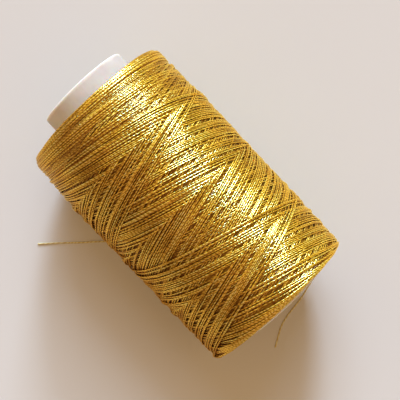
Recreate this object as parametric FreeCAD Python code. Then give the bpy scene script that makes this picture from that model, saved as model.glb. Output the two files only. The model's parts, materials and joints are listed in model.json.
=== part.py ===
"""Spool of metallic embroidery thread, lying on its side: a straight hollow tube with a cross-wound package of thread.

Units are millimetres and degrees. +X runs along the tube towards its short bare end, +Z is up, and the origin is on
the surface that the spool lies on, under the middle of the tube's length. Angles round the package are measured from
its top towards +Y, and the thread was wound in the direction in which they grow.
"""
import FreeCAD, Part
import itertools
import math
import os
from FreeCAD import Vector

# The tube
tube_outer_diameter = 28.5
tube_wall = 1.6
tube_rim_round = 0.5
long_bare_end = 5.8
short_bare_end = 1.2

# The package of thread, which sits a little to one side of the tube's axis
package_diameter = 50.0
package_length = 78.6
package_edge_round = 2.0
tube_side_shift = 1.0
wound_fit = 0.05

# The outer turns, an open lattice. One strand stands for a band of neighbouring threads. It runs to and fro, and its
# advance along the package slows down to a share of the full one near the long bare end, over about slow_angle.
strand_diameter = 0.9
layer_gap = 0.5
core_gap = 0.05
turns_end_inset = 0.7
loops = 24
double_runs = 5
turn_back_angle = 90.0
spans_per_run = 9
slow_share = 0.25
slow_angle = 210.0
flat_depth = 0.5

# The strand's outer end lies under the package, and its inner end rises out of the core some way past that
strand_end_x = 10.4
strand_end_angle = 180.0
strand_start_lead = 60.0

# The thread's two loose ends. Each route starts where the thread leaves the package.
thread_diameter = 0.45
outer_tail_route = [
    (10.17, -0.87, 0.24),
    (9.3, -4.1, 0.24),
    (7.5, -9.3, 0.24),
    (4.3, -15.3, 0.24),
    (-0.8, -21.3, 0.24),
    (-6.5, -26.7, 0.24),
    (-11.3, -32.5, 0.24),
    (-15.9, -37.4, 0.24),
    (-20.1, -42.4, 0.24),
]
inner_tail_route = [
    (41.6, 11.2, 12.9),
    (43.4, 11.2, 12.9),
    (45.1, 11.0, 11.3),
    (45.7, 10.5, 8.2),
    (46.1, 9.9, 5.0),
    (46.7, 8.8, 2.0),
    (47.6, 6.6, 0.3),
    (48.3, 3.2, 0.24),
    (48.7, -0.4, 0.24),
    (49.7, -4.7, 0.24),
    (51.8, -8.1, 0.24),
    (53.5, -10.9, 0.24),
]
bend_share = 0.45

# Worked out from the sizes above
tube_length = long_bare_end + package_length + short_bare_end
package_x = (long_bare_end - short_bare_end) / 2
axis_height = package_diameter / 2 - flat_depth
outer_layer_radius = (package_diameter - strand_diameter) / 2
inner_layer_radius = outer_layer_radius - strand_diameter - layer_gap
core_radius = inner_layer_radius - strand_diameter / 2 - core_gap
runs = 2 * double_runs
run_angle = loops * 360.0 / runs - turn_back_angle


def export(shape, name):
    shape.exportStep("parts/" + name + ".step")
    print(name, "valid", shape.isValid(), "solids", len(shape.Solids), "volume", round(shape.Volume, 2))


def rounded_bar(radius, length, middle, edge_round):
    """A solid round bar along X, with its middle at the given point and both edges rounded."""
    bar = Part.makeCylinder(radius, length, middle - Vector(length / 2, 0, 0), Vector(1, 0, 0))
    rims = [edge for edge in bar.Edges if isinstance(edge.Curve, Part.Circle)]
    return bar.makeFillet(edge_round, rims)


def hole_along_tube(radius):
    """The space of a hole round the tube's axis, over the tube's whole length."""
    start = Vector(-tube_length / 2, tube_side_shift, axis_height)
    return Part.makeCylinder(radius, tube_length, start, Vector(1, 0, 0))


def tube():
    middle = Vector(0, tube_side_shift, axis_height)
    wall = rounded_bar(tube_outer_diameter / 2, tube_length, middle, tube_rim_round)
    return wall.cut(hole_along_tube(tube_outer_diameter / 2 - tube_wall))


def thread_core():
    """The wound body under the outer turns, with the tube through it."""
    middle = Vector(package_x, 0, axis_height)
    body = rounded_bar(core_radius, package_length, middle, package_edge_round)
    return body.cut(hole_along_tube(tube_outer_diameter / 2 + wound_fit))


def on_package(angle, x, radius):
    turned = math.radians(angle)
    return Vector(package_x + x, radius * math.sin(turned), axis_height + radius * math.cos(turned))


def heading_on_package(angle, advance, radius):
    """The unit vector along a strand that moves by advance along X for each degree of its turn."""
    turned = math.radians(angle)
    around = math.radians(radius)
    return Vector(advance, around * math.cos(turned), -around * math.sin(turned)).normalize()


def slowed(angle):
    """How far a run has come at this angle from its slow end, as the angle that it would take at full advance."""
    return angle - (1 - slow_share) * slow_angle * (1 - math.exp(-angle / slow_angle))


def advance_share(angle):
    """The share of the full advance at this angle from the slow end of a run."""
    return 1 - (1 - slow_share) * math.exp(-angle / slow_angle)


def angle_where_slowed_is(value):
    """The angle from the slow end of a run at which slowed gives this value."""
    low = 0.0
    high = run_angle
    while high - low > 1e-6:
        middle = (low + high) / 2
        if slowed(middle) < value:
            low = middle
        else:
            high = middle
    return low


def run_stations(number, first_step, last_step, full_advance, slow_end_x):
    """The points that one run passes, each as its angle, x, layer radius and advance per degree.

    Even runs go towards -X in the outer layer, and odd ones towards +X in the inner one. Steps are angles from the
    start of the run.
    """
    towards = 1 if number % 2 else -1
    radius = inner_layer_radius if number % 2 else outer_layer_radius
    span = run_angle / spans_per_run
    least = span / 4
    between = [k * span for k in range(spans_per_run + 1) if first_step + least < k * span < last_step - least]
    stations = []
    for step in [first_step] + between + [last_step]:
        from_slow_end = step if number % 2 else run_angle - step
        x = slow_end_x + slowed(from_slow_end) * full_advance
        angle = number * (run_angle + turn_back_angle) + step
        stations.append((angle, x, radius, towards * advance_share(from_slow_end) * full_advance))
    return stations


def lattice_stations():
    """The stations of the whole strand. Its first and last runs are two parts of one, so the lattice closes."""
    reach = package_length / 2 - turns_end_inset - strand_diameter / 2
    turn_back_rise = turn_back_angle / 4
    full_advance = 2 * reach / (slowed(run_angle) + turn_back_rise * (slow_share + advance_share(run_angle)))
    slow_end_x = turn_back_rise * slow_share * full_advance - reach
    cut_step = run_angle - angle_where_slowed_is((strand_end_x - package_x - slow_end_x) / full_advance)
    stations = run_stations(0, cut_step + strand_start_lead, run_angle, full_advance, slow_end_x)
    for number in range(1, runs):
        stations += run_stations(number, 0, run_angle, full_advance, slow_end_x)
    stations += run_stations(runs, 0, cut_step, full_advance, slow_end_x)
    turned = strand_end_angle - stations[-1][0]
    return [(angle + turned, x, radius, advance) for angle, x, radius, advance in stations]


def arc_between(start, corner, end):
    """The arc from start to end that is tangent to both legs of the corner, which are equally long."""
    leg = (corner - start).Length
    radius = leg / math.tan((corner - start).getAngle(end - corner) / 2)
    inward = ((start + end) / 2 - corner).normalize()
    middle = corner + inward * (math.hypot(radius, leg) - radius)
    return Part.Arc(start, middle, end).toShape()


def biarc(start, start_heading, end, end_heading):
    """Two arcs that leave start and reach end along the given headings and join smoothly half way."""
    span = end - start
    headings = start_heading + end_heading
    a = 4 - headings.dot(headings)
    b = 2 * span.dot(headings)
    leg = (math.sqrt(b * b + 4 * a * span.dot(span)) - b) / (2 * a)
    first_corner = start + start_heading * leg
    second_corner = end - end_heading * leg
    joint = (first_corner + second_corner) / 2
    return [arc_between(start, first_corner, joint), arc_between(joint, second_corner, end)]


def line(start, end):
    return Part.LineSegment(start, end).toShape()


def strand_path():
    """The strand's middle line. It rises square out of the core, bends over, winds, and ends in a straight piece."""
    stations = lattice_stations()
    places = [on_package(angle, x, radius) for angle, x, radius, advance in stations]
    headings = [heading_on_package(angle, advance, radius) for angle, x, radius, advance in stations]
    outward = on_package(stations[0][0], 0, 1) - on_package(stations[0][0], 0, 0)
    rise = outer_layer_radius - core_radius - strand_diameter
    bend_corner = places[0] - headings[0] * rise
    bend_start = bend_corner - outward * rise
    edges = [line(bend_start - outward * strand_diameter, bend_start), arc_between(bend_start, bend_corner, places[0])]
    for number in range(len(places) - 1):
        edges += biarc(places[number], headings[number], places[number + 1], headings[number + 1])
    edges.append(line(places[-1], places[-1] + headings[-1] * strand_diameter))
    return edges


def least_gap(edges, diameter, step=0.5):
    """The least clear gap of a wound tube to itself, measured between points along its middle line."""
    cell = 3 * diameter
    own_stretch = 4 * cell
    found = cell
    cells = {}
    along = 0.0
    for edge in edges:
        count = math.ceil(edge.Length / step)
        for number, point in enumerate(edge.discretize(count + 1)[:-1]):
            place = along + edge.Length * number / count
            key = [math.floor(value / cell) for value in point]
            for shift in itertools.product((-1, 0, 1), repeat=3):
                near = cells.get(tuple(a + b for a, b in zip(key, shift)), ())
                for other_place, other in near:
                    if place - other_place > own_stretch:
                        found = min(found, point.distanceToPoint(other))
            cells.setdefault(tuple(key), []).append((place, point))
        along += edge.Length
    return found - diameter


def sweep(edges, diameter):
    """A round solid along joined edges."""
    start = edges[0].valueAt(edges[0].FirstParameter)
    heading = edges[0].tangentAt(edges[0].FirstParameter)
    shell = Part.BRepOffsetAPI.MakePipeShell(Part.Wire(edges))
    shell.add(Part.Wire([Part.Circle(start, heading, diameter / 2).toShape()]))
    shell.build()
    shell.makeSolid()
    solid = shell.shape()
    length = sum(edge.Length for edge in edges)
    share = solid.Volume / (length * math.pi * diameter * diameter / 4)
    print("swept length", round(length, 1), "volume over section times length", round(share, 4))
    return solid


def thread_turns():
    """The outer turns, cut flat where the package lies on its surface."""
    edges = strand_path()
    print("strand ends at", [round(value, 2) for value in edges[-1].valueAt(edges[-1].LastParameter)])
    print("least gap of the turns to themselves", round(least_gap(edges, strand_diameter), 3))
    corner = Vector(package_x - package_length / 2, -package_diameter / 2, -package_diameter)
    below = Part.makeBox(package_length, package_diameter, package_diameter, corner)
    return sweep(edges, strand_diameter).cut(below)


def cord_edges(route):
    """Straight runs between the route's points, joined by arcs as large as the runs allow."""
    points = [Vector(*point) for point in route]
    edges = []
    radii = []
    start = points[0]
    for before, corner, after in zip(points, points[1:], points[2:]):
        leg = bend_share * min((corner - before).Length, (after - corner).Length)
        bend_start = corner + (before - corner).normalize() * leg
        bend_end = corner + (after - corner).normalize() * leg
        edges.append(line(start, bend_start))
        edges.append(arc_between(bend_start, corner, bend_end))
        radii.append(edges[-1].Curve.Radius)
        start = bend_end
    edges.append(line(start, points[-1]))
    print("bend radii", [round(radius, 1) for radius in radii])
    return edges


def main():
    os.makedirs("parts", exist_ok=True)
    export(tube(), "tube")
    export(thread_core(), "thread_core")
    export(thread_turns(), "thread_turns")
    export(sweep(cord_edges(outer_tail_route), thread_diameter), "outer_thread_tail")
    export(sweep(cord_edges(inner_tail_route), thread_diameter), "inner_thread_tail")


main()
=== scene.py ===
"""Looks of the spool of thread: the wound gold thread, the white tube, the two loose ends, the floor and the
light.

Lengths are metres, and what is written in millimetres is multiplied by MM. +X goes along the tube towards its
short bare end, and +Z up. Angles are degrees, and those round the package go from its top towards +Y, the way
in which the thread was wound. The package is the wound thread, whose turns are shown as single threads.
"""
import json
import math

import bpy
import numpy as np
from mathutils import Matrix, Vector


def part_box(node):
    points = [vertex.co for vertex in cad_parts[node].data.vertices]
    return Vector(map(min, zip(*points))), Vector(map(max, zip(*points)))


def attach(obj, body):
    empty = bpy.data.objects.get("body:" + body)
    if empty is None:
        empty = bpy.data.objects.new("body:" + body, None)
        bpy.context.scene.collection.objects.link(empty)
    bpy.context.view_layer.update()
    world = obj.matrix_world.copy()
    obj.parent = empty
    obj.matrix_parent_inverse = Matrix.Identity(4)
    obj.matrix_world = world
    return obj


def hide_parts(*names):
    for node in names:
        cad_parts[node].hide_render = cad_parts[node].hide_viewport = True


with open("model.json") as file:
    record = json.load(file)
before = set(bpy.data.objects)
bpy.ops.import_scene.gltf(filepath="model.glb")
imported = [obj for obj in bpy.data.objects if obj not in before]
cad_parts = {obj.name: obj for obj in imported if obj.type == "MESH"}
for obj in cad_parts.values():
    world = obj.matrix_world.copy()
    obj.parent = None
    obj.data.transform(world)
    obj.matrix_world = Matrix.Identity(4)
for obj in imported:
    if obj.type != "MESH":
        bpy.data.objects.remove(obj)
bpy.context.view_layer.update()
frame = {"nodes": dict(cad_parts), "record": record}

MM = 0.001

# Sizes from the frame
bore = next(mount for mount in frame["record"]["mounts"] if mount["name"] == "spool_bore")
tube_low, tube_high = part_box("tube")
core_low, core_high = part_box("thread_core")
turns_low, turns_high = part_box("thread_turns")
tube_y = bore["pos_m"][1]
axis_z = bore["pos_m"][2]
tube_radius = (tube_high.z - tube_low.z) / 2
package_x = (core_low.x + core_high.x) / 2
package_y = (core_low.y + core_high.y) / 2
package_half = (core_high.x - core_low.x) / 2
package_radius = (turns_high.y - turns_low.y) / 2

# The camera, straight above the spool and turned so that the tube runs from upper left to lower right
camera_place = (4.35 * MM, 3.4 * MM, 392.5 * MM)
camera_turn = 46.75
camera_lens = 114.2

# The thread. Its wound turns are pressed flat, with a section in shares of their half width and half height.
thread_width = 0.45 * MM
wound_width = 0.41 * MM
wound_thickness = 0.28 * MM
section = ((1, 0), (0.6, 1), (-0.6, 1), (-1, 0), (-0.6, -1), (0.6, -1))
sides = len(section)

# The loose ends, with the points of their routes in millimetres
loose_ends = {
    "outer_tail": {
        "node": "outer_thread_tail",
        "route": [(10.17, -0.87, 0.24), (9.3, -4.1, 0.24), (7.5, -9.3, 0.24), (4.3, -15.3, 0.24),
                  (-0.8, -21.3, 0.24), (-6.5, -26.7, 0.24), (-11.3, -32.5, 0.24), (-15.9, -37.4, 0.24),
                  (-20.1, -42.4, 0.24)],
        "length": 52.1 * MM,
    },
    "inner_tail": {
        "node": "inner_thread_tail",
        "route": [(41.6, 11.2, 12.9), (43.4, 11.2, 12.9), (45.1, 11.0, 11.3), (45.7, 10.5, 8.2),
                  (46.1, 9.9, 5.0), (46.7, 8.8, 2.0), (47.6, 6.6, 0.3), (48.3, 3.2, 0.24),
                  (48.7, -0.4, 0.24), (49.7, -4.7, 0.24), (51.8, -8.1, 0.24), (53.5, -10.9, 0.24)],
        "length": 35.2 * MM,
    },
}

# The package's outline: its radius along x, how its ends are rounded, and how far they lie inside its box
outline_x = np.array([-39.3, -30.0, -20.0, -10.0, 0.0, 15.0, 30.0, 39.3]) * MM
outline_radius = np.array([24.55, 24.75, 25.1, 25.1, 24.95, 24.95, 24.85, 24.75]) * MM
long_end_round = 3.0 * MM
short_end_round = 2.3 * MM
end_inset = 0.3 * MM
outer_layers = 4 * MM
steepest_seat = 0.2

# The winding law: a double run goes from the reversal near +X to the one near -X and back, in five turns
double_run = 5 * 360.0
full_pitch = 41.2 * MM
full_advance = full_pitch / 360
front_x = 20.6 * MM
front_angle = 76.0
quick_turn = 90.0
quick_x = front_x + full_advance * (180 - quick_turn / 4)
slow_from = 540.0
slow_room = 19.13 * MM
slow_limit = front_x + slow_room
rounding = 15.0
last_turning = 289

# How the turns share the height where they crowd near the ends
rise_share = 0.6
least_room = 0.1
crowding_power = 2.2
least_rise = 0.03
crowded_room = 0.3
proud_share = 1.1
least_proud = 0.25
rank_blend = 0.1
proud_height = 0.05 * MM
sunk_depth = 0.24 * MM

# The unevenness of the winding: gaps beside the runs, their reach towards -X, their ranks and their wander
winding_seed = 7
coverages = 2.2
thread_spacing = 0.53 * MM
gap_kinds = (0.75, 1.15, 2.5)
gap_shares = (0.5, 0.38, 0.12)
gap_spread = 0.1
stroke_change = 1.6 * MM
rank_step = 0.618
rank_spread = 0.12
going_rank = 0.8
slow_wander = 0.07
run_wander = 0.05
wander_samples = 250

# The map of the package's surface, and the samples along the thread that are laid on it
cell = 0.1 * MM
rows = int(2 * (package_half + cell) / cell) + 2
columns = int(round(2 * math.pi * package_radius / cell))
print_margin = 3
sample_step = 0.2 * MM
step_angle = math.degrees(sample_step / package_radius)
tension_steps = (32, 16, 8, 4, 2, 32, 16, 8, 4, 2, 1)
smooth_deviation = 0.82

# How the wound surface becomes the turns that show, with reaches in cells of the map and in samples
level_reach = (22, 14)
close_reach = (5, 5)
least_cover = 0.01
free_height = 0.35 * MM
highest = 0.3 * MM
shown_margin = 6
ring_step = 5
turns_pieces = 6

# The end faces: rings of arcs, each with its wander and depth in millimetres and its reach in degrees
end_seed = 23
end_layers = 3
rim_share = 0.5
ring_spacing = 0.5 * MM
ring_turn = 7
ring_gap = 0.2 * MM
arc_gap = 0.15 * MM
arc_scatter = 0.8
arc_lengths = (0.75, 0.5)
arc_step = 2.5
arc_wander = 0.12
arc_drift = 0.3
arc_sunk = 0.16
arc_rise = 0.05
pattern_length = 1000
package_ends = {
    "long_end": {"side": -1, "end_round": long_end_round, "reach": 70, "fall": 0.00016 * MM},
    "short_end": {"side": 1, "end_round": short_end_round, "reach": 22, "fall": 0.00127 * MM},
}

# The wound body under the turns
body_inset = 0.5 * MM
body_depth = 1.1 * MM
body_sides = 180

# The gold film's twist and unevenness, in millimetres along the thread and of height
twist_pitch = 1.25
twist_slant = 1.0
twist_waver = 6
twist_height = 0.019
waver_height = 0.09
# The painted shade of the lower turns: full this deep under the turns beside them, gone this much higher
deepest = 0.33
depth_range = 0.26

# Colours, most of them ramps of positions and colours
film_tints = ((0.35, (0.66, 0.385, 0.05)), (0.49, (1.0, 0.67, 0.16)), (0.62, (1.0, 0.81, 0.36)))
# From the twist's trough to its crest: the troughs are darker, partly for the core between the wraps and
# partly painted shade
twist_tones_and_shade = ((0.0, (0.46, 0.33, 0.06)), (0.45, (0.98, 0.94, 0.4)), (1.0, (1, 1, 1)))
# Painted shade: the colour of turns that lie lower than those beside them, from the deepest to those level
painted_gap_shades = ((0.0, (0.42, 0.26, 0.06)), (1.0, (1, 1, 1)))
film_edge = (1.0, 0.62, 0.15, 1)
loose_twists = ((0.1, (0.68, 0.53, 0.24)), (0.6, (0.78, 0.68, 0.36)), (0.95, (0.83, 0.76, 0.45)))
# Painted shade: the dark golds of the wound body, which shows only in the shade between the turns
painted_shade_golds = ((0.3, (0.12, 0.055, 0.008)), (0.6, (0.42, 0.22, 0.03)), (0.8, (0.6, 0.34, 0.05)))
tube_whites = ((0.3, (0.61, 0.585, 0.57)), (0.55, (0.645, 0.625, 0.61)), (0.75, (0.675, 0.655, 0.645)))
# Painted light: the brighter white near the tube's ends
painted_edge_light = (0.86, 0.84, 0.82)
floor_pales = ((0.3, (0.728, 0.724, 0.72)), (0.7, (0.744, 0.74, 0.736)))
# Painted reflection: the floor's colour in what reflects it, from the side away from the window to the
# window's side
floor_reflected = ((0.0, (0.68, 0.61, 0.34)), (1.0, (1.0, 1.0, 0.42)))

# The light. A lamp has a turn in the picture, an elevation, a width, a strength, a colour and what it lights.
key_color = (0.68, 0.825, 1.0)
sheen_color = (0.03, 0.3, 1.0)
glow_color = (1.75, 1.95, 0.25)
backdrop_color = (0.74, 0.68, 0.65)
ceiling_color = (0.694, 0.451, 0.236)
wall_share = 0.35
glow_elevation = 5
glow_from = 0.3
glow_full = 0.95
lamps = (
    ("low_sun", 5, 25, 13, 2.25, key_color, "all"),
    ("soft_left", -18, 44, 20, 0.38, key_color, "diffuse"),
    ("soft_right", 10, 44, 20, 0.52, key_color, "diffuse"),
    ("soft_low", -4, 34, 20, 0.98, key_color, "diffuse"),
    ("sheen_sun", 0, 27.5, 20, 5.3, sheen_color, "glossy"),
)

# The floor, with the slope of its painted reflected colour across the spool, per metre
floor_reach = 4.0
window_slope = 16


# Objects

def add_object(name, data):
    """A new object in the scene."""
    thing = bpy.data.objects.new(name, data)
    bpy.context.scene.collection.objects.link(thing)
    return thing


def add_piece(name, node, data, material):
    """A piece of thread that stands for a node."""
    piece = add_object(name, data)
    data.materials.append(material)
    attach(piece, "root")
    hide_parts(node)
    return piece


def make_camera():
    """The camera, with the photograph's view."""
    data = bpy.data.cameras.new("camera")
    data.lens = camera_lens
    data.clip_start = 0.01
    data.clip_end = 20
    camera = add_object("camera", data)
    camera.location = camera_place
    camera.rotation_euler = (0, 0, math.radians(camera_turn))
    bpy.context.scene.camera = camera


def make_loose_end(name, node, route, length):
    """One loose end of the thread, as a smooth line through the room that its solid has."""
    curve = bpy.data.curves.new(name, "CURVE")
    curve.dimensions = "3D"
    curve.bevel_depth = 1
    curve.bevel_resolution = 3
    curve.use_fill_caps = True
    spline = curve.splines.new("NURBS")
    spline.points.add(len(route) - 1)
    for point, (x, y, z) in zip(spline.points, route):
        point.co = (x * MM, y * MM, z * MM, 1)
        point.radius = thread_width / 2
    spline.order_u = 3
    spline.use_endpoint_u = True
    spline.resolution_u = 12
    piece = add_piece(name, node, curve, loose_end_material(name, length / MM))


# The winding law and the package's outline

def run_x(turning):
    """The thread's x in the package after this much turning from a reversal near +X. It leaves the reversal
    in a quick turn, advances steadily, and goes slower and slower towards -X."""
    half = double_run / 2
    away = np.abs((turning + half) % double_run - half)
    quick = quick_x - full_advance * away * away / quick_turn
    steady = front_x - full_advance * (away - 180)
    late = half - np.sqrt((half - away) ** 2 + rounding ** 2) + rounding * np.exp((away - half) / rounding)
    slow = -slow_limit + slow_room * np.exp(-(late - slow_from) * full_advance / slow_room)
    return np.where(away < quick_turn / 2, quick, np.where(away < slow_from, steady, slow))


def room_share(x):
    """The turns' room at this x, over their room where they advance steadily. It is less near -X."""
    return np.clip((x + slow_limit) / slow_room, least_room, 1)


def crowding(x):
    """How much of its height a turn adds at this x: less near the ends, where more turns share the room."""
    share = np.ones_like(x)
    slow = x < -front_x
    share[slow] = room_share(x[slow]) ** crowding_power
    zone = full_advance * quick_turn / 4
    fast = x > quick_x - zone
    share[fast] = np.sqrt(np.clip((quick_x - x[fast]) / zone, least_room, 1))
    return np.clip(share, least_rise, 1)


def lift(x, rank):
    """How far a run lies over or under its own height. Where turns crowd near -X, only those of low rank lie
    proud."""
    share = room_share(x)
    proud = np.clip((np.maximum(share * proud_share, least_proud) - rank) / rank_blend, 0, 1)
    crowded = np.clip((1 - share) / crowded_room, 0, 1)
    return (proud * proud_height - (1 - proud) * sunk_depth) * crowded


def outline(x):
    """The package's outer radius at this x."""
    radius = np.interp(x, outline_x, outline_radius)
    for side, end_round in ((-1, long_end_round), (1, short_end_round)):
        past = np.clip((side * x - (package_half - end_round)) / end_round, 0, 1)
        radius = radius - end_round * (1 - np.sqrt(1 - past * past))
    return radius


def end_depth(radius, end_round):
    """How far inside the end plane the package's surface is at this radius."""
    past = np.clip((radius - (package_radius - end_inset - end_round)) / end_round, 0, 1)
    return end_round * (1 - np.sqrt(1 - past * past))


def middle_y(radius):
    """Where the middle of a turn of this radius lies: on the package's axis, or nearer the tube's if it is
    small."""
    inner = package_radius - outer_layers
    return package_y + (tube_y - package_y) * np.clip((inner - radius) / (inner - tube_radius), 0, 1)


def place(angle, x, radius):
    """Points at these angles from the top, places along the package and radii, flattened where they rest
    below."""
    turn = np.radians(angle)
    seat = (axis_z - 0.5 * thread_width) / np.maximum(np.abs(np.cos(turn)), steepest_seat)
    radius = np.where(np.cos(turn) < 0, np.minimum(radius, seat), radius)
    y = middle_y(radius) + radius * np.sin(turn)
    return np.column_stack((package_x + x, y, axis_z + radius * np.cos(turn)))


# Winding. The thread is laid turn by turn on the map of the package's surface.

def slow_noise(random, count, spread):
    """Random numbers with a deviation of one that change slowly, over about spread samples."""
    knots = random.normal(size=int(count / spread) + 4)
    at = np.arange(count) / spread + 1
    low = at.astype(int)
    part = at - low
    part = part * part * (3 - 2 * part)
    return (knots[low] * (1 - part) + knots[low + 1] * part) / smooth_deviation


def map_cells(angle, x, margin):
    """The rows and columns of the map at these places, at least so many rows inside its ends."""
    row = np.clip(((x + package_half + cell) / cell).astype(int), margin, rows - 1 - margin)
    column = ((angle % 360) / 360 * columns).astype(int) % columns
    return row, column


def thread_print():
    """The map cells that a thread covers round its middle, each with the height of its surface there."""
    reach = int(wound_width / 2 / cell)
    cells = []
    for i in range(-reach, reach + 1):
        for j in range(-reach, reach + 1):
            across = math.hypot(i, j) * cell
            if across < wound_width / 2:
                cells.append((i, j, math.sqrt((wound_width / 2) ** 2 - across ** 2)))
    return cells


def pull_tight(height):
    """Lets the thread bridge the hollows between the places that hold it up."""
    for spacing in tension_steps:
        sag = (spacing * sample_step) ** 2 / (2 * package_radius)
        before = np.concatenate((height[:spacing], height[:-spacing]))
        after = np.concatenate((height[spacing:], height[-spacing:]))
        height = np.maximum(height, (before + after) / 2 - sag)
    return height


def lay_run(angle, x, lifted, first, top, shown, owner):
    """Lays one run, whose samples are numbered from first, and gives the height of its middle line. The map's
    top is what later runs lie on. Its shown height counts the lift too, and its owner is the sample seen."""
    rise = rise_share * crowding(x)
    row, column = map_cells(angle, x, print_margin)
    height = np.zeros(len(x), np.float32)
    for i, j, bump in thread_print():
        height = np.maximum(height, top[row + i, (column + j) % columns] + rise * bump)
    height = pull_tight(height)
    numbers = first + np.arange(len(x))
    for i, j, bump in thread_print():
        r = row + i
        c = (column + j) % columns
        surface = height + rise * bump
        higher = surface > top[r, c]
        top[r[higher], c[higher]] = surface[higher]
        surface = surface + lifted
        higher = surface > shown[r, c]
        shown[r[higher], c[higher]] = surface[higher]
        owner[r[higher], c[higher]] = numbers[higher]
    return height + lifted


def plan_runs(random):
    """The double runs from the oldest to the newest: the drift of each round the package, how much further it
    goes near -X, its rank in height and its first angle. The newest starts half a turn before its front."""
    helix = math.atan(full_pitch / (2 * math.pi * package_radius))
    drift = math.degrees(thread_spacing / (package_radius * math.sin(helix)))
    count = int(coverages * 360 / drift)
    gaps = random.choice(gap_kinds, count, p=gap_shares)
    drifts = drift * gaps * (1 + gap_spread * random.normal(size=count))
    reaches = random.random(count) * stroke_change
    ranks = (np.arange(count) * rank_step + rank_spread * random.normal(size=count)) % 1
    starts = front_angle - 180 - np.cumsum(drifts[::-1])[::-1]
    return drifts, reaches, ranks, starts


def wind():
    """Winds the package. Gives the angle, x and height of every sample, and the map's heights and owners."""
    random = np.random.default_rng(winding_seed)
    drifts, reaches, ranks, starts = plan_runs(random)
    top = np.zeros((rows, columns), np.float32)
    shown = np.full((rows, columns), -1, np.float32)
    owner = np.full((rows, columns), -1, np.int32)
    laid = []
    first = 0
    for number, start in enumerate(starts):
        for half in range(2):
            turning = half * double_run / 2 + np.arange(0, double_run / 2, step_angle)
            if number == len(starts) - 1:
                turning = turning[turning < last_turning]
            if len(turning) == 0:
                continue
            angle = start + turning * (1 + drifts[number] / double_run)
            wander = slow_wander * slow_noise(random, len(turning), wander_samples)
            wander = wander + run_wander * random.normal()
            x = run_x(turning)
            near_end = np.clip((-front_x - x) / slow_room, 0, 1)
            x = x + wander * MM - reaches[number] * near_end ** 2
            rank = ranks[number] + going_rank * (half == 0)
            height = lay_run(angle, x, lift(x, rank), first, top, shown, owner)
            laid.append((angle, x, height))
            first += len(x)
    angle, x, height = (np.concatenate(part) for part in zip(*laid))
    return angle, x, height, top, owner


# What shows of the winding

def blur(field, cells, closed):
    """Runs a box filter twice along the rows of a map, which close on themselves where closed is true."""
    mode = "wrap" if closed else "edge"
    for _ in range(2):
        padded = np.pad(field, ((0, 0), (cells + 1, cells)), mode=mode)
        sums = np.cumsum(padded, axis=1)
        field = (sums[:, 2 * cells + 1:] - sums[:, :-2 * cells - 1]) / (2 * cells + 1)
    return field


def mean_around(field, around, across):
    """A map's mean round each of its cells, over so many cells round the package and along it."""
    return blur(blur(field, around, True).T, across, False).T


def level_around(top, reach):
    """The wound surface's mean height round each place, which leaves out bare cells."""
    share = mean_around((top > 0).astype(float), *reach)
    level = mean_around(top.astype(float), *reach)
    return level / np.maximum(share, least_cover)


def relief(height, level):
    """How far the thread lies over or under the package's outline, with its highest places pressed in."""
    over = height - level - free_height
    return np.where(over > 0, highest * np.tanh(over / highest), over)


def seen_stretches(owner, total):
    """The stretches of thread that show, each with its first sample and the one after its last."""
    shown = np.unique(owner[owner >= 0])
    marks = np.zeros(total + 1, int)
    np.add.at(marks, np.clip(shown - shown_margin, 0, total), 1)
    np.add.at(marks, np.clip(shown + shown_margin + 1, 0, total), -1)
    covered = np.concatenate(([0], (np.cumsum(marks[:total]) > 0).astype(int), [0]))
    return np.flatnonzero(np.diff(covered)).reshape(-1, 2)


def ring_samples(stretches):
    """The samples of these stretches that get a ring, and where each stretch starts among them."""
    picked = [np.append(np.arange(first, last - 1, ring_step), last - 1) for first, last in stretches]
    starts = np.cumsum([0] + [len(samples) for samples in picked[:-1]])
    return np.concatenate(picked), starts


# Meshes of thread

def thread_rings(points, starts):
    """The corner points of a ring round each point of the thread, and the ends of its stretches."""
    count = len(points)
    ends = np.append(starts[1:], count) - 1
    following = np.arange(count) + 1
    following[ends] = ends
    leading = np.arange(count) - 1
    leading[starts] = starts
    tangent = points[following] - points[leading]
    tangent /= np.linalg.norm(tangent, axis=1, keepdims=True)
    outward = points - np.array((0, package_y, axis_z))
    outward[:, 0] = 0
    side = np.cross(tangent, outward)
    side /= np.linalg.norm(side, axis=1, keepdims=True)
    outward = np.cross(side, tangent)
    rings = np.empty((count, sides, 3))
    for k, (wide, high) in enumerate(section):
        aside = side * (wound_width / 2 * wide)
        rings[:, k] = points + aside + outward * (wound_thickness / 2 * high)
    return rings, ends


def thread_faces(count, starts, ends):
    """The faces on these rings, as the numbers of their corner points, each corner's way round the thread,
    and where each face starts among the corners."""
    inner = np.ones(count, bool)
    inner[ends] = False
    ring = np.flatnonzero(inner)
    k = np.arange(sides)
    here = ring[:, None] * sides
    after = here + sides
    quads = np.stack((here + k, after + k, after + (k + 1) % sides, here + (k + 1) % sides), axis=2)
    caps = np.concatenate((starts[:, None] * sides + k, ends[:, None] * sides + k[::-1]))
    corners = np.concatenate((quads.reshape(-1), caps.reshape(-1)))
    around = np.tile(np.stack((k, k, k + 1, k + 1), axis=1).reshape(-1), len(ring)) / sides
    around = np.concatenate((around, np.zeros(caps.size)))
    quad_starts = np.arange(len(ring) * sides) * 4
    cap_starts = quads.size + np.arange(len(caps)) * sides
    return corners, around, np.concatenate((quad_starts, cap_starts))


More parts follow.
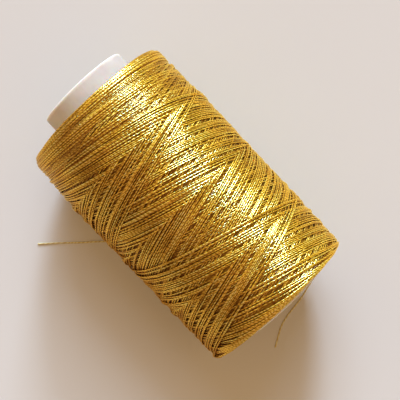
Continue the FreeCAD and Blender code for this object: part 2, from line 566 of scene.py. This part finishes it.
def thread_mesh(name, points, starts, along, height):
    """One mesh of many stretches of thread. Its thread_lay attribute holds the way along, the way round and
    the height over the turns beside it, the first and last in millimetres."""
    rings, ends = thread_rings(points, starts)
    corners, around, face_starts = thread_faces(len(points), starts, ends)
    mesh = bpy.data.meshes.new(name)
    mesh.vertices.add(len(points) * sides)
    mesh.vertices.foreach_set("co", rings.reshape(-1).astype(np.float32))
    mesh.loops.add(len(corners))
    mesh.loops.foreach_set("vertex_index", corners.astype(np.int32))
    mesh.polygons.add(len(face_starts))
    mesh.polygons.foreach_set("loop_start", face_starts.astype(np.int32))
    mesh.update(calc_edges=True)
    mesh.shade_smooth()
    own_ring = corners // sides
    lay = mesh.attributes.new("thread_lay", "FLOAT_VECTOR", "CORNER")
    values = np.column_stack((along[own_ring] / MM, around, height[own_ring]))
    lay.data.foreach_set("vector", values.reshape(-1).astype(np.float32))
    return mesh


def make_turns(material):
    """The turns that show, in pieces of about the same size from the oldest to the newest."""
    angle, x, height, top, owner = wind()
    row, column = map_cells(angle, x, 0)
    level = level_around(top, level_reach)[row, column]
    close_level = level_around(top, close_reach)[row, column]
    radius = outline(x) - 0.5 * wound_thickness + relief(height, level)
    points = place(angle, x, radius)
    along = np.arange(len(x)) * sample_step
    over = (height - close_level) / MM
    stretches = seen_stretches(owner, len(x))
    reached = np.cumsum(stretches[:, 1] - stretches[:, 0])
    bounds = np.linspace(0, reached[-1], turns_pieces + 1)
    for part in range(turns_pieces):
        name = f"turns_{part + 1}"
        own = stretches[(reached > bounds[part]) & (reached <= bounds[part + 1])]
        picked, starts = ring_samples(own)
        mesh = thread_mesh(name, points[picked], starts, along[picked], over[picked])
        add_piece(name, "thread_turns", mesh, material)


def lay_arc(random, middle, ring_radius, outer, side, end_round, reach, fall):
    """One arc of thread on an end face: its points, its way along the thread and its height over those beside
    it. The fall is how far it sinks from its middle, per squared degree."""
    shortest, change = arc_lengths
    width = reach * (shortest + change * random.random())
    turning = np.arange(-width, width + 0.1, arc_step)
    radius = ring_radius + (arc_wander * random.normal() + arc_drift * turning / width) * MM
    radius = np.clip(radius, tube_radius + arc_gap, outer)
    sunk = abs(arc_sunk * random.normal())
    depth = end_depth(radius, end_round) + fall * turning * turning + sunk * MM
    points = place(middle + turning, side * (package_half - end_inset - depth), radius)
    along = np.radians(turning) * ring_radius + pattern_length * random.random()
    return points, along, np.full(len(turning), arc_rise - sunk)


def make_end(name, side, end_round, reach, fall, material):
    """One end face of the package: rings of the thread's own reversals, from the tube to the shoulder."""
    random = np.random.default_rng(end_seed + side)
    outer = package_radius - end_inset - rim_share * end_round
    radii = np.arange(tube_radius + ring_gap, outer, ring_spacing)
    arcs = int(end_layers * 180 / reach)
    laid = []
    for number, ring_radius in enumerate(radii):
        for arc in range(arcs):
            middle = 360 / arcs * (arc + arc_scatter * random.random()) + ring_turn * number
            laid.append(lay_arc(random, middle, ring_radius, outer, side, end_round, reach, fall))
    starts = np.cumsum([0] + [len(points) for points, along, over in laid[:-1]])
    points, along, over = (np.concatenate(part) for part in zip(*laid))
    mesh = thread_mesh(name, points, starts, along, over)
    add_piece(name, "thread_turns", mesh, material)


def make_body():
    """The wound body under the turns, turned round the tube with a surface that follows the outline."""
    shares = (np.linspace(-1, -0.9, 12), np.linspace(-0.88, 0.88, 40), np.linspace(0.9, 1, 12))
    x = np.concatenate(shares) * (package_half - body_inset)
    profile = [(x[0], tube_radius)]
    profile += list(zip(x, outline(x) - body_depth))
    profile += [(x[-1], tube_radius)]
    vertices = []
    for ring_x, radius in profile:
        for step in range(body_sides):
            turn = 2 * math.pi * step / body_sides
            y = middle_y(radius) + radius * math.sin(turn)
            vertices.append((package_x + ring_x, y, axis_z + radius * math.cos(turn)))
    faces = []
    for i in range(len(profile)):
        here = i * body_sides
        after = (i + 1) % len(profile) * body_sides
        for step in range(body_sides):
            beside = (step + 1) % body_sides
            faces.append((here + step, here + beside, after + beside, after + step))
    mesh = bpy.data.meshes.new("wound_body")
    mesh.from_pydata(vertices, [], faces)
    mesh.shade_smooth()
    add_piece("wound_body", "thread_core", mesh, body_material())


# Nodes of materials. An input is another node's output, a number, a direction or a colour.

def new_material(name):
    """A new material, its node tree and its shader."""
    material = bpy.data.materials.new(name)
    material.use_nodes = True
    tree = material.node_tree
    return material, tree, tree.nodes["Principled BSDF"]


def feed(tree, socket, value):
    """Gives an input its value. A colour is a tuple of its three parts."""
    if isinstance(value, bpy.types.NodeSocket):
        tree.links.new(value, socket)
    elif isinstance(value, tuple):
        socket.default_value = (*value, 1)
    else:
        socket.default_value = value


def add_math(tree, operation, first, second=0):
    """A calculation with one or two numbers."""
    node = tree.nodes.new("ShaderNodeMath")
    node.operation = operation
    feed(tree, node.inputs[0], first)
    feed(tree, node.inputs[1], second)
    return node.outputs[0]


def add_vector_math(tree, operation, first, second):
    """A calculation with two colours or directions."""
    node = tree.nodes.new("ShaderNodeVectorMath")
    node.operation = operation
    feed(tree, node.inputs[0], first)
    feed(tree, node.inputs[1], second)
    return node.outputs["Value" if operation == "DOT_PRODUCT" else "Vector"]


def add_ramp(tree, factor, stops):
    """A ramp of colours, from the lowest position to the highest."""
    node = tree.nodes.new("ShaderNodeValToRGB")
    elements = node.color_ramp.elements
    for element, (position, color) in ((elements[0], stops[0]), (elements[1], stops[-1])):
        element.position = position
        element.color = (*color, 1)
    for position, color in stops[1:-1]:
        elements.new(position).color = (*color, 1)
    feed(tree, node.inputs[0], factor)
    return node.outputs[0]


def add_choice(tree, switch, first, second):
    """The first colour, or the second where the switch is on. The node's inputs 6 and 7 are its colours."""
    node = tree.nodes.new("ShaderNodeMix")
    node.data_type = "RGBA"
    feed(tree, node.inputs[0], switch)
    feed(tree, node.inputs[6], first)
    feed(tree, node.inputs[7], second)
    return node.outputs[2]


def add_parts(tree, vector):
    """The three parts of a direction or place."""
    node = tree.nodes.new("ShaderNodeSeparateXYZ")
    feed(tree, node.inputs[0], vector)
    return node.outputs


def add_noise(tree, spot, scale, detail):
    """Noise in space, of this scale per metre."""
    node = tree.nodes.new("ShaderNodeTexNoise")
    node.inputs["Scale"].default_value = scale
    node.inputs["Detail"].default_value = detail
    feed(tree, node.inputs["Vector"], spot)
    return node.outputs["Fac"]


def add_line_noise(tree, along, scale, detail):
    """Noise along the thread, of this scale per millimetre."""
    node = tree.nodes.new("ShaderNodeTexNoise")
    node.noise_dimensions = "1D"
    node.inputs["Scale"].default_value = scale
    node.inputs["Detail"].default_value = detail
    feed(tree, node.inputs["W"], along)
    return node.outputs["Fac"]


def add_bump(tree, height, strength, distance):
    """The normals of a surface with this height."""
    node = tree.nodes.new("ShaderNodeBump")
    node.inputs["Strength"].default_value = strength
    node.inputs["Distance"].default_value = distance
    feed(tree, node.inputs["Height"], height)
    return node.outputs[0]


def add_twist(tree, along, around, waver):
    """The wave of the twisted film, from -1 to 1, and the same from 0 to 1."""
    twist = add_math(tree, "DIVIDE", along, twist_pitch)
    twist = add_math(tree, "ADD", twist, add_math(tree, "MULTIPLY", around, twist_slant))
    twist = add_math(tree, "ADD", twist, waver)
    wave = add_math(tree, "SINE", add_math(tree, "MULTIPLY", twist, 2 * math.pi))
    return wave, add_math(tree, "MULTIPLY", add_math(tree, "ADD", wave, 1), 0.5)


def finish_shader(tree, shader, color, normal, values):
    """The shader's colour, its surface, and the values that are the same all over it."""
    feed(tree, shader.inputs["Base Color"], color)
    feed(tree, shader.inputs["Normal"], normal)
    for name, value in values.items():
        shader.inputs[name].default_value = value


# Materials

def thread_material():
    """Gold film wrapped round a fine core: a metal with a twisted, uneven surface, a clear gloss and painted
    shade.
    """
    material, tree, shader = new_material("gold_thread")
    source = tree.nodes.new("ShaderNodeAttribute")
    source.attribute_name = "thread_lay"
    along, around, over = add_parts(tree, source.outputs["Vector"])
    waver = add_line_noise(tree, along, 0.5, 3)
    tint = add_line_noise(tree, along, 0.06, 5)
    wave, film = add_twist(tree, along, around, add_math(tree, "MULTIPLY", tint, twist_waver))
    color = add_ramp(tree, tint, film_tints)
    # The twist's troughs are darkened, partly for the core between the wraps and partly as painted shade
    # there
    color = add_vector_math(tree, "MULTIPLY", color, add_ramp(tree, film, twist_tones_and_shade))
    # Painted shade: turns that lie lower than those beside them are darkened, for the shade in the hollows
    rise = add_math(tree, "DIVIDE", add_math(tree, "ADD", over, deepest), depth_range)
    color = add_vector_math(tree, "MULTIPLY", color, add_ramp(tree, rise, painted_gap_shades))
    twist_relief = add_math(tree, "MULTIPLY", wave, twist_height)
    height = add_math(tree, "ADD", twist_relief, add_math(tree, "MULTIPLY", waver, waver_height))
    normal = add_bump(tree, height, 1, MM)
    feed(tree, shader.inputs["Coat Normal"], normal)
    finish_shader(tree, shader, color, normal, {
        "Metallic": 0.95,
        "Roughness": 0.28,
        "Specular Tint": film_edge,
        "Coat Weight": 1,
        "Coat IOR": 1.45,
        "Coat Roughness": 0.2,
    })
    return material


def loose_end_material(name, length):
    """A loose end away from the winding, which shows more of its pale core between the twists of the film.
    Its length is in millimetres."""
    material, tree, shader = new_material(name)
    source = tree.nodes.new("ShaderNodeTexCoord")
    share, around, _ = add_parts(tree, source.outputs["UV"])
    along = add_math(tree, "MULTIPLY", share, length)
    wave, film = add_twist(tree, along, around, add_line_noise(tree, along, 0.3, 3))
    normal = add_bump(tree, wave, 1, 0.02 * MM)
    finish_shader(tree, shader, add_ramp(tree, film, loose_twists), normal, {
        "Metallic": 0.1,
        "Roughness": 0.5,
        "Specular IOR Level": 0.2,
    })
    return material


def body_material():
    """Gold thread seen between the turns, painted dark as shade, with fine lines that run round the package.
    """
    material, tree, shader = new_material("wound_body")
    source = tree.nodes.new("ShaderNodeTexCoord")
    stretch = tree.nodes.new("ShaderNodeMapping")
    stretch.inputs["Scale"].default_value = (2200, 120, 120)
    feed(tree, stretch.inputs[0], source.outputs["Object"])
    lines = add_noise(tree, stretch.outputs[0], 1, 4)
    normal = add_bump(tree, lines, 0.8, 0.1 * MM)
    finish_shader(tree, shader, add_ramp(tree, lines, painted_shade_golds), normal, {
        "Metallic": 0.8,
        "Roughness": 0.45,
    })
    return material


def tube_material():
    """Matt white tube with faint mottling and grain, and painted light that makes it brighter towards its
    ends.
    """
    material, tree, shader = new_material("white_tube")
    spot = tree.nodes.new("ShaderNodeTexCoord").outputs["Object"]
    mottle = add_noise(tree, spot, 260, 6)
    grain = add_noise(tree, spot, 2600, 3)
    from_middle = add_math(tree, "ABSOLUTE", add_parts(tree, spot)[0])
    uneven = add_math(tree, "ADD", from_middle, add_math(tree, "MULTIPLY", mottle, MM))
    # Painted light: beyond a ragged line about 0.7 mm inside the +X end, and as far from x = 0 towards -X,
    # the tube turns brighter
    past = add_math(tree, "SUBTRACT", uneven, tube_high.x - 0.7 * MM)
    lit_edge = add_math(tree, "DIVIDE", past, MM)
    color = add_choice(tree, lit_edge, add_ramp(tree, mottle, tube_whites), painted_edge_light)
    finish_shader(tree, shader, color, add_bump(tree, grain, 0.35, 0.05 * MM), {
        "Roughness": 0.7,
        "Specular IOR Level": 0.06,
        "Subsurface Weight": 0.5,
        "Subsurface Radius": (1.0, 0.45, 0.25),
        "Subsurface Scale": 4 * MM,
    })
    return material


def floor_material():
    """Pale floor. What reflects it shows a painted reflection, warmer and brightest on the window's side."""
    material, tree, shader = new_material("floor")
    spot = tree.nodes.new("ShaderNodeTexCoord").outputs["Object"]
    cloud = add_noise(tree, spot, 9, 2)
    across = add_math(tree, "MULTIPLY", add_parts(tree, spot)[1], window_slope)
    window_side = add_math(tree, "ADD", across, 0.5)
    reflected = add_ramp(tree, window_side, floor_reflected)
    ray = tree.nodes.new("ShaderNodeLightPath")
    color = add_choice(tree, ray.outputs["Is Glossy Ray"], add_ramp(tree, cloud, floor_pales), reflected)
    feed(tree, shader.inputs["Base Color"], color)
    shader.inputs["Roughness"].default_value = 0.8
    shader.inputs["Specular IOR Level"].default_value = 0
    return material


# Tube, floor and light

def dress_tube():
    """Gives the solid tube its material."""
    tube = frame["nodes"]["tube"]
    tube.data.materials.clear()
    tube.data.materials.append(tube_material())


def make_floor():
    """The plain floor that the spool lies on."""
    mesh = bpy.data.meshes.new("floor")
    corners = [(x * floor_reach, y * floor_reach, 0) for x, y in ((-1, -1), (1, -1), (1, 1), (-1, 1))]
    mesh.from_pydata(corners, [], [(0, 1, 2, 3)])
    mesh.materials.append(floor_material())
    add_object("floor", mesh)


def image_direction(turn, elevation):
    """The direction towards a light beyond the top of the picture, turned clockwise from there and raised."""
    base = math.radians(camera_turn)
    up = Vector((-math.sin(base), math.cos(base), 0))
    right = Vector((math.cos(base), math.sin(base), 0))
    flat = up * math.cos(math.radians(turn)) + right * math.sin(math.radians(turn))
    return flat * math.cos(math.radians(elevation)) + Vector((0, 0, math.sin(math.radians(elevation))))


def make_light():
    """The key light, the soft suns that light no reflection, and the sheen, which only reflections show."""
    for name, turn, elevation, width, strength, color, lights in lamps:
        data = bpy.data.lights.new(name, "SUN")
        data.energy = strength
        data.angle = math.radians(width)
        data.color = color
        sun = add_object(name, data)
        sun.rotation_euler = image_direction(turn, elevation).to_track_quat("Z", "Y").to_euler()
        sun.visible_glossy = lights != "diffuse"
        sun.visible_diffuse = lights != "glossy"


def make_room():
    """The room round the spool: a warm ceiling over darker walls. Metal also shows the bright wall by the
    window, and the camera sees a pale backdrop."""
    world = bpy.data.worlds.new("room")
    bpy.context.scene.world = world
    world.use_nodes = True
    tree = world.node_tree
    background = tree.nodes["Background"]
    direction = tree.nodes.new("ShaderNodeTexCoord").outputs["Generated"]
    walls = tuple(wall_share * part for part in ceiling_color)
    room = add_ramp(tree, add_parts(tree, direction)[2], ((0.0, walls), (1.0, ceiling_color)))
    towards = add_vector_math(tree, "DOT_PRODUCT", direction, image_direction(0, glow_elevation))
    glow = add_ramp(tree, towards, ((glow_from, (0, 0, 0)), (glow_full, glow_color)))
    ray = tree.nodes.new("ShaderNodeLightPath")
    color = add_choice(tree, ray.outputs["Is Glossy Ray"], room, add_vector_math(tree, "ADD", room, glow))
    color = add_choice(tree, ray.outputs["Is Camera Ray"], color, backdrop_color)
    feed(tree, background.inputs["Color"], color)
    background.inputs["Strength"].default_value = 1


# The scene

make_camera()
gold = thread_material()
for name, facts in loose_ends.items():
    make_loose_end(name, **facts)
make_turns(gold)
for name, facts in package_ends.items():
    make_end(name, material=gold, **facts)
make_body()
dress_tube()
make_floor()
make_light()
make_room()
bpy.context.scene.view_settings.view_transform = "Standard"

bpy.context.view_layer.update()
